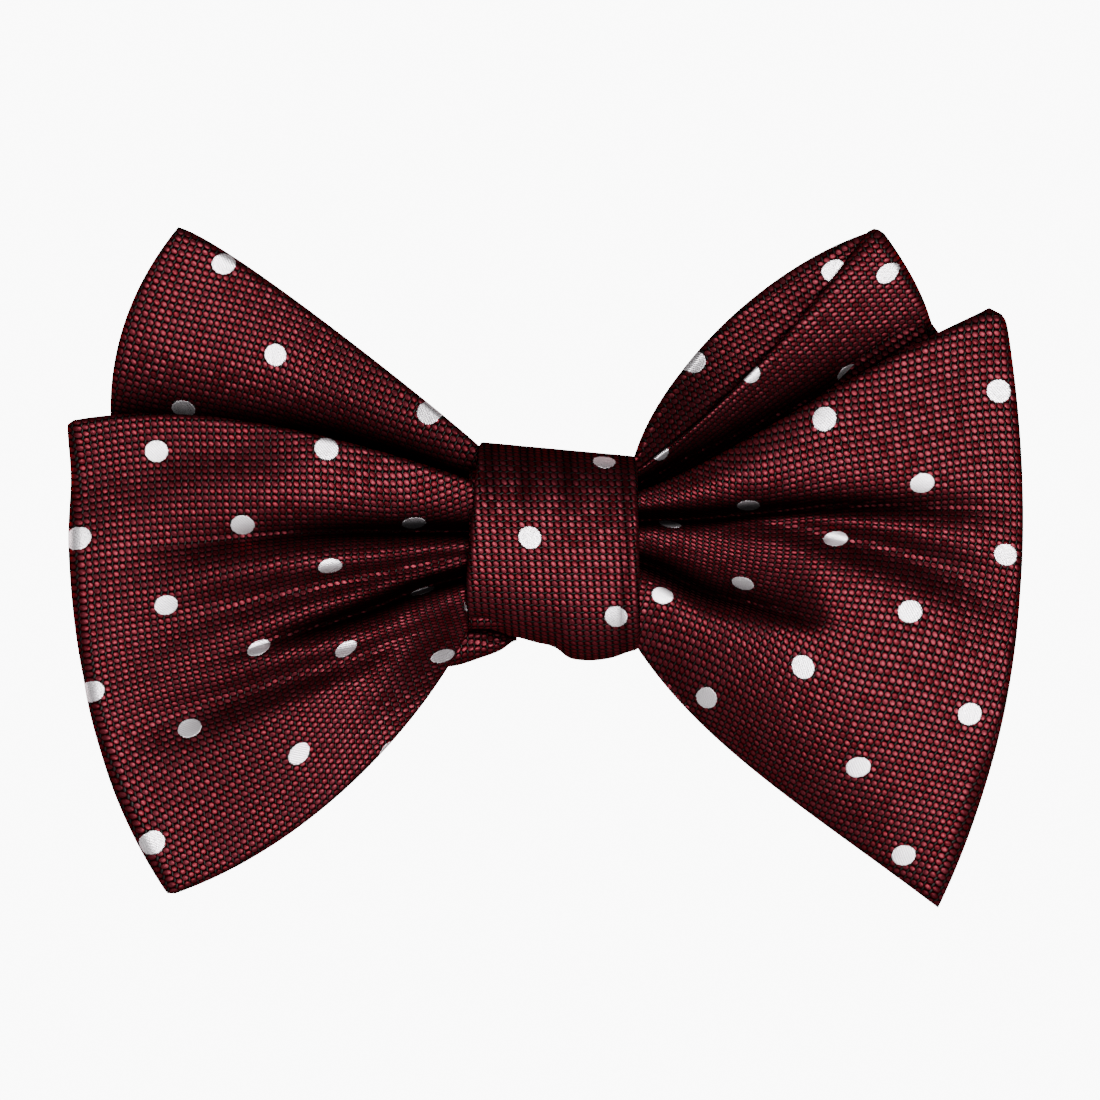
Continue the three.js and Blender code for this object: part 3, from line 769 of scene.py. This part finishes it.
BACK_END_SWELLS = [
    # the upper edge falls back near the knot
    [(7, 13.8, 1.2, 1, 4), (15, 18.6, 1.5, 1, 4.5), (25, 26, 1, 1, 5), (34, 32.8, 0.4, 1, 6),
     (44, 39, 0, 1, 6)],
]
BACK_LOOP_CREASES = [
    # behind the front end's upper edge
    [(7, 7.2, 3, 1.4, 4), (12, 9.2, 4.6, 2.4, 5), (16.2, 11.4, 6, 3.6, 6), (22.7, 14.4, 7.4, 5, 6),
     (29.4, 17.6, 8.2, 6.2, 6), (34.4, 20, 8.2, 6.6, 6), (39.5, 22.4, 7.4, 6.4, 6),
     (44.7, 24.8, 5.8, 5.6, 6), (52, 28, 3.8, 5, 6)],
]


# Where the woven spots lie on each wing: (x, z, steps along, steps across).
FRONT_LOOP_SPOTS = [
    (-49.4, 12.4, 0, 0), (-28.3, 12.6, 2, 0), (-59.1, 1.6, -1, -1), (-38.6, 3.1, 1, -1),
    (-17.6, 3.3, 3, -1), (-48.1, -6.8, 0, -2), (-27.8, -2, 2, -2), (-57.4, -17.6, -1, -3),
    (-36.5, -12.1, 1, -3), (-16.6, -5.1, 3, -3), (-45.3, -22, 0, -4), (-25.9, -12.1, 2, -4),
    (-49.8, -36.4, -1, -5), (-31.5, -25.1, 1, -5), (-14, -13.1, 3, -5),
]
FRONT_END_SPOTS = [
    (55.6, 20, 0, 0), (33.8, 16.4, -2, 0), (46, 8.4, -1, -1), (24.5, 5.5, -3, -1), (56.5, -0.5, 0, -2),
    (35.3, 1.5, -2, -2), (44.4, -7.5, -1, -3), (23.8, -4.1, -3, -3), (52, -20.4, 0, -4),
    (31.1, -14.5, -2, -4), (13.8, -5.4, -4, -4), (38.1, -27, -1, -5), (19.3, -18.5, -3, -5),
    (43.8, -38.1, 0, -6),
]
BACK_END_SPOTS = [
    (-55.8, 30.2, -1, -1), (-41.9, 36.4, 0, 0), (-35.3, 24.9, 1, -1), (-15.5, 17.5, 3, -1),
    (-47.2, 18.1, 0, -2),
]
BACK_LOOP_SPOTS = [(42.4, 35.2, 0, 0), (37.6, 22.6, -1, -1), (25.1, 22.3, -2, 0), (13.6, 12.4, -4, 0)]
BACK_LOOP_INNER_SPOTS = [(17.6, 24.1, -2, 0), (35.7, 35.8, 0, 0), (21.3, 38.4, -1, 1)]


def middle_depth(root, middle, end, a):
    return mix(root, end, a) + (middle - (root + end) / 2) * swell(a)


def loop_depth(root, middle, end, apart, spread, towards_back, pinched=0.0):
    """A loop leaf's depth. Its leaves are apart at the knot and the fold, and spread more between."""

    def depth(a, b):
        between = mix(apart[0], apart[1], a) + spread * swell(a) * (1 - 0.5 * b * b)
        between = between * (1 - pinched * a**4 * smooth_step(b, 0.95, 1))
        return middle_depth(root, middle, end, a) + towards_back * between

    return depth


def end_depth(root, middle, end, edge_back):
    def depth(a, b):
        return middle_depth(root, middle, end, a) + edge_back * swell(a) * b * b

    return depth


def front_loop():
    def leaf(towards_back):
        return Leaf(
            side=-1,
            lower=[(KNOT_X, -9.6), (15.5, -20.5), (30, -36.5), (48.2, -42.9)],
            upper=[(KNOT_X, 8.9), (28, 15), (46, 18.5), (60.9, 16.1)],
            bulge=(4.8, -0.3, 2),
            inset=1.95,
            depth=loop_depth(-83.7, -82.6, -82.5, (0.8, 1.1), 4.6, towards_back),
            creases=FRONT_LOOP_CREASES,
            swells=FRONT_LOOP_SWELLS,
            behind=towards_back > 0,
        )

    points = partial(loop_points, leaf(-1), leaf(1))
    wing("front_loop", points, FRONT_LOOP_CREASES, FRONT_LOOP_SPOTS, free_end=False)


def front_end():
    leaf = Leaf(
        side=1,
        lower=[(KNOT_X, -12.1), (19, -25), (33, -33.2), (48.3, -44.8)],
        upper=[(KNOT_X, 7.4), (24, 12), (41, 26), (56.5, 30.2)],
        bulge=(5.9, -0.1, 2),
        inset=0,
        depth=end_depth(-84.4, -85.6, -83.0, 1.6),
        creases=FRONT_END_CREASES,
        swells=FRONT_END_SWELLS,
        corner=(2.0, 0.0125),
        rolled=(1.9, 1.5),
    )
    wing("front_end", leaf.points, FRONT_END_CREASES, FRONT_END_SPOTS, free_end=True)


def back_end():
    leaf = Leaf(
        side=-1,
        lower=[(KNOT_X, -8), (20, -16), (32, -25), (45, -30)],
        upper=[(KNOT_X, 14.3), (19, 21.6), (42, 39.8), (47.6, 41.1)],
        bulge=(10.4, 0, 3),
        inset=0,
        depth=end_depth(-76.6, -72.4, -72.5, 1.2),
        creases=BACK_END_CREASES,
        swells=BACK_END_SWELLS,
    )
    wing("back_end", leaf.points, BACK_END_CREASES, BACK_END_SPOTS, free_end=True)


def back_loop():
    def leaf(upper, towards_back):
        return Leaf(
            side=1,
            lower=[(KNOT_X, -6), (22, -10), (36, -17), (49.5, -20)],
            upper=upper,
            bulge=(9.2, 0, 2),
            inset=1.8,
            depth=loop_depth(-75.4, -71.5, -71.0, (0.8, 1.1), 3.4, towards_back, pinched=0.7),
            creases=BACK_LOOP_CREASES,
            swells=[],
            behind=towards_back > 0,
        )

    front = leaf([(KNOT_X, 10.2), (21, 17.5), (31, 27.5), (41.7, 40.7)], -1)
    back = leaf([(KNOT_X, 12.2), (14, 23), (27, 36), (41.7, 40.7)], 1)
    points = partial(loop_points, front, back)
    wing("back_loop", points, BACK_LOOP_CREASES, BACK_LOOP_SPOTS, False, BACK_LOOP_INNER_SPOTS)


# ---- Knot ----


SQUARENESS = 0.8  # of a loop's section: 1 is an ellipse, and less is squarer
WRAP_TOP = (13.75, 11.9)  # how high its top is at its left and at its right
WRAP_BOTTOM = [(-1, -9.2), (-0.44, -10.75), (-0.2, -11.5), (0.06, -12.35), (0.18, -13.4), (0.35, -13.8),
               (0.64, -13.6), (1, -12.5)]  # how high its bottom is, from its left at -1 to its right at 1
WRAP_LEFT = (11.25, 9.4)  # how far out its left side is at its bottom and at its top
WRAP_RIGHT = (10.9, 10.5)
WRAP_SPOT = (-2.9, 1.64)
WRAP_PLEATS = (-7.9, -3.5, 1.8)
PLEAT_WIDTH, PLEAT_DEPTH, PLEAT_SHADE = 0.8, 0.6, 0.45
WRAP_FOLD = 8.9
FOLD_WIDTH, FOLD_DEPTH, FOLD_SHADE = 0.4, 0.3, 0.4
WRAP_EDGE = 0.06  # how much of the wrap's half width is rounded, and how far back
WRAP_EDGE_DROP = 0.7
WAIST_PLEAT_DEPTH = 0.55
WAIST_PLEAT_PITCH = 3.6
WAIST_MARGIN = 0.7  # how far its pleats' middle stays inside the CAD waist
TURN_TOP = [(-15.4, -10.0), (-10.5, -8.9), (-7.5, -9.2), (-4.6, -10.2)]  # how high, from left to right
TURN_BOTTOM = [(-15.4, -14.6), (-13.2, -14.7), (-9.2, -13.6), (-6.6, -12.6), (-4.6, -11.4)]
TURN_Y = -73.3
TURN_HALF_DEPTH = 2.7


def loop_section(turn):
    """A rounded square loop's depth and height, from -1 to 1, at an angle round it."""
    return [np.sign(part) * np.abs(part) ** SQUARENESS for part in (np.cos(turn), np.sin(turn))]


def wrap():
    """The strip that goes once round the middle, with its seams turned in at the sides."""
    across = np.linspace(-1, 1, 65)[None, :]
    turn = np.linspace(0, 2 * np.pi, 241)[:-1, None]
    depth, height = loop_section(turn)
    centre_y = (wrap_low.y + wrap_high.y) / 2 / MM
    half_depth = (wrap_high.y - wrap_low.y) / 2 / MM
    top = mix(*WRAP_TOP, (across + 1) / 2)
    bottom = smooth_through(across, *zip(*WRAP_BOTTOM))
    z = (top + bottom) / 2 + (top - bottom) / 2 * height
    left = mix(*WRAP_LEFT, (height + 1) / 2)
    right = mix(*WRAP_RIGHT, (height + 1) / 2)
    x = (right - left) / 2 + across * (right + left) / 2
    y = centre_y + half_depth * depth + 0.0 * across
    surface = np.stack([x + 0.0 * y, y, z + 0.0 * y], axis=-1)

    pleats = smooth_step(z, 3, 11) * sum(bump(x, at, PLEAT_WIDTH) for at in WRAP_PLEATS)
    fold = bump(x, WRAP_FOLD, FOLD_WIDTH)
    shade = np.clip(PLEAT_SHADE * pleats + FOLD_SHADE * fold, 0, 1)
    flat = wrap_cloth(surface, depth[:, 0] < 0, shade)
    size = (float(np.ptp(x)) * MM, float(lengths(surface, 0)[-1].mean()) * MM)
    surface[..., 1] += np.where(depth < 0, PLEAT_DEPTH * pleats + FOLD_DEPTH * fold, 0)

    round_middle = np.stack([0 * x, y - centre_y, z - (top + bottom) / 2], axis=-1)
    outward = round_middle / np.linalg.norm(round_middle, axis=2, keepdims=True)
    edge = np.clip((np.abs(across) - (1 - WRAP_EDGE)) / WRAP_EDGE, 0, 1)
    rounding = (WRAP_EDGE_DROP * (1 - np.sqrt(1 - edge**2)))[..., None]
    outside = surface - outward * rounding
    inside = outside - outward * PLY
    for name, shift, material, slot in (
        ("face", 0.0, silk, "spotted_silk"),
        ("interlining", 0.62, canvas, "interlining"),
        ("lining", 1.3, lining_silk, "lining_silk"),
    ):
        narrow = np.array([1 - 0.06 * shift, 1, 1])
        sides = [(side - outward * shift) * narrow for side in (outside, inside)]
        piece = ply(f"wrap_{name}_panel", *sides, flat, closed=True)
        dress(piece, material, slot, [f"wrap_{name}"])
        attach(piece, "knot")


def wrap_cloth(surface, front, shade):
    """Each point's place on the wrap's flat cloth, with a spot's middle at WRAP_SPOT, and its shade. The
    cloth is eased where it goes over the top."""
    x, z = surface[..., 0], surface[..., 2]
    along = lengths(surface, 0)
    spot_x, spot_z = WRAP_SPOT
    at_spot = [np.interp(-spot_z, -z[front, j], along[front, j]) for j in range(x.shape[1])]
    up = at_spot - along
    eased = up - smooth_step(up, 3, 11)
    return np.stack([eased, x - spot_x + 0.075 * (z - spot_z), shade], axis=-1)


def waist(name, spot):
    """A gathered waist: pleats squeezed side by side inside the wrap."""
    low, high = (np.array(corner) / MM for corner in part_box(name))
    across = np.linspace(low[0], high[0], 30)[None, :]
    turn = np.linspace(0, 2 * np.pi, 181)[:-1, None]
    depth, height = loop_section(turn)
    middle, half = (low + high) / 2, (high - low) / 2
    z = middle[2] + half[2] * height
    pleats = WAIST_PLEAT_DEPTH * np.cos(z * 2 * np.pi / WAIST_PLEAT_PITCH)
    y = middle[1] + (half[1] - WAIST_MARGIN) * depth + pleats
    surface = np.stack([across + 0 * y, y + 0 * across, z + 0 * across], axis=-1)
    inward = (middle - surface) * (0, 1, 1)
    inward = inward / np.linalg.norm(inward, axis=2, keepdims=True)
    flat = np.stack([surface[..., 0], lengths(surface, 0)], axis=-1) + spot
    piece = ply(f"{name}_pleats", surface, surface + inward, flat, closed=True)
    dress(piece, silk, "spotted_silk", [name])
    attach(piece, "knot")


# ---- Straps ----
#
# A strap is a flat sewn tube. Its path is its middle line as seen from above, and it stands on edge.

STRAP_R = 62.3
RETURN_R = 65.7
BAR_R = (STRAP_R + RETURN_R) / 2
STRAP_HEIGHT = 18.0
STRAP_THICKNESS = 1.6
STRAP_FRONT_X = 9.2
SLIDER_ANGLE = 15.0
SLEEVE_R = 1.65
TAB_LENGTH = 18.0
GAP = 0.3
PUCKER_DEPTH = 0.05
PUCKER_PITCH = 3.1
PASS_REACH = 8.9  # the half knot's two passes, from the middle
PASS_THICKNESS = 2.2
STITCH_LENGTH = 1.5
STITCH_RADIUS = 0.22
STITCH_HEIGHTS = np.linspace(-7.6, 7.6, 9)
TAB_SEAM = 1.6  # from the tab's end to its stitches
BEVEL = 0.18

BAR_X = 11.4
BAR_ANGLE = math.degrees(math.acos(BAR_X / BAR_R))
FRONT_ANGLE = -math.degrees(math.acos(STRAP_FRONT_X / STRAP_R))


def on_circle(radius, degrees, centre=(0.0, 0.0)):
    angle = math.radians(degrees)
    return centre[0] + radius * math.cos(angle), centre[1] + radius * math.sin(angle)


def arc(radius, start, end, centre=(0.0, 0.0), step=2.0):
    count = max(2, math.ceil(abs(end - start) / step) + 1)
    return [on_circle(radius, angle, centre) for angle in np.linspace(start, end, count)]


def degrees_for(length, radius):
    return math.degrees(length / radius)


def strap(name, path, thickness=STRAP_THICKNESS, half_height=STRAP_HEIGHT / 2, tilt=0.0, closed=False):
    """A sewn tube along a path of (x, y) points, and its flat size. Its edges are soft and puckered, and
    tilt lifts its end."""
    path = np.array(path)
    if closed:
        tangent = np.roll(path, -1, 0) - np.roll(path, 1, 0)
    else:
        tangent = np.gradient(path, axis=0)
    tangent = tangent / np.linalg.norm(tangent, axis=1, keepdims=True)
    normal = np.stack([tangent[:, 1], -tangent[:, 0]], axis=1)
    along = np.concatenate([[0], np.cumsum(np.linalg.norm(np.diff(path, axis=0), axis=1))])

    soft = thickness / 2
    spans = ((-1, -0.9, 6), (-0.88, 0.88, 19), (0.9, 1, 6))
    z = half_height * np.concatenate([np.linspace(*span) for span in spans])
    over = np.clip((np.abs(z) - half_height + soft) / soft, 0, 1)
    out = soft * np.sqrt(1 - over**2)
    section_z = np.concatenate([z, z[-2:0:-1]])
    section_out = np.concatenate([out, -out[-2:0:-1]])

    wave = PUCKER_DEPTH * np.sin(along * 2 * np.pi / PUCKER_PITCH)
    pucker = wave[:, None] * np.abs(section_z / half_height) ** 4
    offset = section_out[None, :] + pucker * np.sign(section_out)[None, :]
    lift = tilt * (along / along[-1] - 0.5)[:, None]
    points = np.empty((len(path), len(section_z), 3))
    points[..., :2] = path[:, None, :] + normal[:, None, :] * offset[..., None]
    points[..., 2] = section_z[None, :] + lift
    faces = tube_faces(*points.shape[:2], closed)
    u = np.broadcast_to(along[:, None], points.shape[:2])
    v = np.broadcast_to(section_z[None, :] + 3.0, points.shape[:2])
    piece = cloth_object(name, points, faces, np.stack([u, v], axis=-1))
    closing = np.linalg.norm(path[0] - path[-1]) if closed else 0.0
    size = (2 * half_height * MM, float(along[-1] + closing) * MM)
    return dress(piece, silk, "strap_silk"), size


def strap_with_fold(outer_end):
    """From the half knot to the nape, round the bar, and back to where the outer layer ends."""
    bar = on_circle(BAR_R, BAR_ANGLE)
    turn = BAR_R - STRAP_R
    inner = arc(STRAP_R, FRONT_ANGLE, BAR_ANGLE)
    fold = arc(turn, BAR_ANGLE + 180, BAR_ANGLE, bar, 15.0)
    outer = arc(RETURN_R, BAR_ANGLE, outer_end)
    return inner + fold[1:] + outer[1:]


def neck_straps():
    fold_end = BAR_ANGLE - degrees_for(3, RETURN_R)
    tab_end = BAR_ANGLE - degrees_for(TAB_LENGTH, RETURN_R)
    return_end = SLIDER_ANGLE + degrees_for(SLEEVE_R + GAP, RETURN_R)

    for side, path in (
        ("right", strap_with_fold(fold_end)),
        ("left", [(-x, y) for x, y in strap_with_fold(tab_end)]),
    ):
        piece, size = strap(f"{side}_strap", path)
        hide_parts(f"{side}_neck_strap")
        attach(piece, "knot")

    back, size = strap("return_strap", arc(RETURN_R, return_end, fold_end - 0.02))
    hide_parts("strap_return")
    start, end = on_circle(RETURN_R, fold_end), on_circle(RETURN_R, return_end)
    start, end = ((x * MM, y * MM, 0) for x, y in (start, end))
    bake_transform(back)
    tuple(start)
    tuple(end)

    bar = on_circle(RETURN_R, SLIDER_ANGLE)
    sleeve, size = strap("sleeve", arc(SLEEVE_R, 0, 345, bar, 15.0), 1.1, closed=True)
    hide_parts("bar_sleeve")
    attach(sleeve, "slider")


def half_knot():
    """The two straps cross behind the wrap. The one against the collar meets both neck straps."""
    x = np.linspace(-PASS_REACH, PASS_REACH, 25)
    curve = np.abs(x / PASS_REACH) ** 3
    path = list(zip(x, -67.1 + 0.15 * curve))
    near, size = strap("half_knot_near_pass", path, PASS_THICKNESS, half_height=6.6, tilt=2.2)
    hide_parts("half_knot_right_pass")
    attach(near, "knot")
    far, size = strap("half_knot_far_pass", list(zip(x, -64.5 + 2.6 * curve)), PASS_THICKNESS)
    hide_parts("half_knot_left_pass")
    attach(far, "knot")


def under_turn():
    """The turn of the wrapping strip, which shows under the knot's left corner."""
    x = np.linspace(TURN_TOP[0][0], TURN_TOP[-1][0], 37)[:, None]
    turn = np.linspace(0, 2 * np.pi, 61)[None, :-1]
    top, bottom = (smooth_through(x, *zip(*line)) for line in (TURN_TOP, TURN_BOTTOM))
    depth, height = np.cos(turn), np.sin(turn)
    z = (top + bottom) / 2 + (top - bottom) / 2 * height
    crease = 0.5 * bump(height, -0.1, 0.25)
    y = TURN_Y + (TURN_HALF_DEPTH - crease) * depth + 0 * x
    points = np.stack([x + 0 * y, y, z], axis=-1)
    faces = tube_faces(*points.shape[:2])
    # Painted shade: the turn darkens just under the wrap.
    shade_under_wrap = smooth_step(z, top - 2.8, top - 1.2)
    flat = np.stack([points[..., 0] + 3.0, lengths(points, 1) + 5.0, shade_under_wrap], axis=-1)
    piece = cloth_object("under_turn_fold", points, faces, flat)
    dress(piece, silk, "spotted_silk", ["under_turn"])
    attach(piece, "knot")


def stitches(name, body, places):
    """A row of short upright stitches."""
    edit = bmesh.new()
    for place in places:
        made = bmesh.ops.create_uvsphere(edit, u_segments=8, v_segments=6, radius=STITCH_RADIUS * MM)
        for vertex in made["verts"]:
            vertex.co.z *= STITCH_LENGTH / (2 * STITCH_RADIUS)
            vertex.co += Vector(place) * MM
    mesh = bpy.data.meshes.new(name)
    edit.to_mesh(mesh)
    edit.free()
    make_smooth(mesh)
    piece = object_in_scene(name, mesh)
    dress(piece, thread, "strap_silk")
    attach(piece, body)


def stitch_rows():
    tab_end = BAR_ANGLE - degrees_for(TAB_LENGTH - TAB_SEAM, RETURN_R)
    x, y = on_circle(RETURN_R + STRAP_THICKNESS / 2, tab_end)
    stitches("tab_stitching", "knot", [(-x, y, z) for z in STITCH_HEIGHTS])
    x, y = on_circle(RETURN_R + SLEEVE_R + 0.5, SLIDER_ANGLE + 0.3)
    stitches("sleeve_stitching", "slider", [(x, y, z) for z in STITCH_HEIGHTS])


# ---- Hardware ----


def metal(node, name, body):
    """A bevelled copy of a metal piece."""
    piece = object_in_scene(name, frame["nodes"][node].data.copy())
    edit = bmesh.new()
    edit.from_mesh(piece.data)
    bmesh.ops.remove_doubles(edit, verts=edit.verts, dist=0.001 * MM)
    bmesh.ops.dissolve_limit(edit, angle_limit=math.radians(1), verts=edit.verts, edges=edit.edges)
    edit.to_mesh(piece.data)
    edit.free()
    bevel = piece.modifiers.new("edges", "BEVEL")
    bevel.width = BEVEL * MM
    bevel.segments = 3
    bevel.limit_method = "ANGLE"
    bevel.angle_limit = math.radians(25)
    piece.modifiers.new("shading", "WEIGHTED_NORMAL")
    make_smooth(piece.data)
    dress(piece, nickel, "nickel", [node])
    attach(piece, body)


# ---- Light, camera, floor ----


def camera():
    knot_front = wrap_low.y / MM
    data = bpy.data.cameras.new("camera")
    data.sensor_width = 36
    data.lens = data.sensor_width * (CAMERA_DISTANCE + FRAMED_DEPTH) / FRAME_WIDTH
    data.clip_start = 0.01
    data.clip_end = 50
    eye = object_in_scene("camera", data)
    eye.location = (CAMERA_X * MM, (knot_front - CAMERA_DISTANCE) * MM, CAMERA_Z * MM)
    eye.rotation_euler = (math.pi / 2, 0, 0)
    bpy.context.scene.camera = eye


def area_light(name, place, target, size, power):
    """A soft light, with its place and size in metres and its power in watts."""
    data = bpy.data.lights.new(name, "AREA")
    data.shape = "RECTANGLE"
    data.size, data.size_y = size
    data.energy = power
    lamp = object_in_scene(name, data)
    lamp.location = place
    direction = Vector(target) - Vector(place)
    lamp.rotation_euler = direction.to_track_quat("-Z", "Y").to_euler()


def studio():
    world = bpy.data.worlds.new("studio")
    world.use_nodes = True
    tree = world.node_tree
    background = tree.nodes["Background"]
    ray = add_node(tree, "LightPath").outputs["Is Camera Ray"]
    strength = add_node(tree, "MapRange", {"Value": ray, "To Min": ROOM_LIGHT, "To Max": BACKDROP_LIGHT})
    background.inputs["Color"].default_value = (1, 1, 1, 1)
    tree.links.new(strength.outputs["Result"], background.inputs["Strength"])
    bpy.context.scene.world = world
    bow, middle = (0, wrap_low.y, 0), (0, 0, 0)
    area_light("key", (0.14, -1.30, -0.10), bow, (0.40, 0.35), power=80)
    area_light("fill", (-0.9, -0.9, 0.5), bow, (0.6, 0.6), power=4)
    area_light("nape", (0.1, 1.1, 1.2), middle, (0.8, 0.8), power=7)
    for side in (-1, 1):
        area_light("side", (side * 1.15, 0.6, 0.3), middle, (0.7, 0.7), power=26)


def floor():
    lowest = min(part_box(node)[0].z for node in frame["nodes"])
    bpy.ops.mesh.primitive_circle_add(vertices=96, radius=FLOOR_RADIUS * MM, fill_type="NGON")
    plane = bpy.context.object
    plane.name = "floor"
    plane.location = (0, 0, lowest - FLOOR_DROP * MM)
    plane.data.materials.append(matt_paper("pale_floor", (0.86, 0.86, 0.86)))


camera()
studio()
floor()
front_loop()
front_end()
back_end()
back_loop()
wrap()
waist("front_waist", 0.0)
waist("back_waist", 4.0)
under_turn()
half_knot()
neck_straps()
stitch_rows()
metal("eye", "eye_plate", "knot")
metal("hook", "hook_plate", "hook")
metal("slider", "slider_frame", "slider")
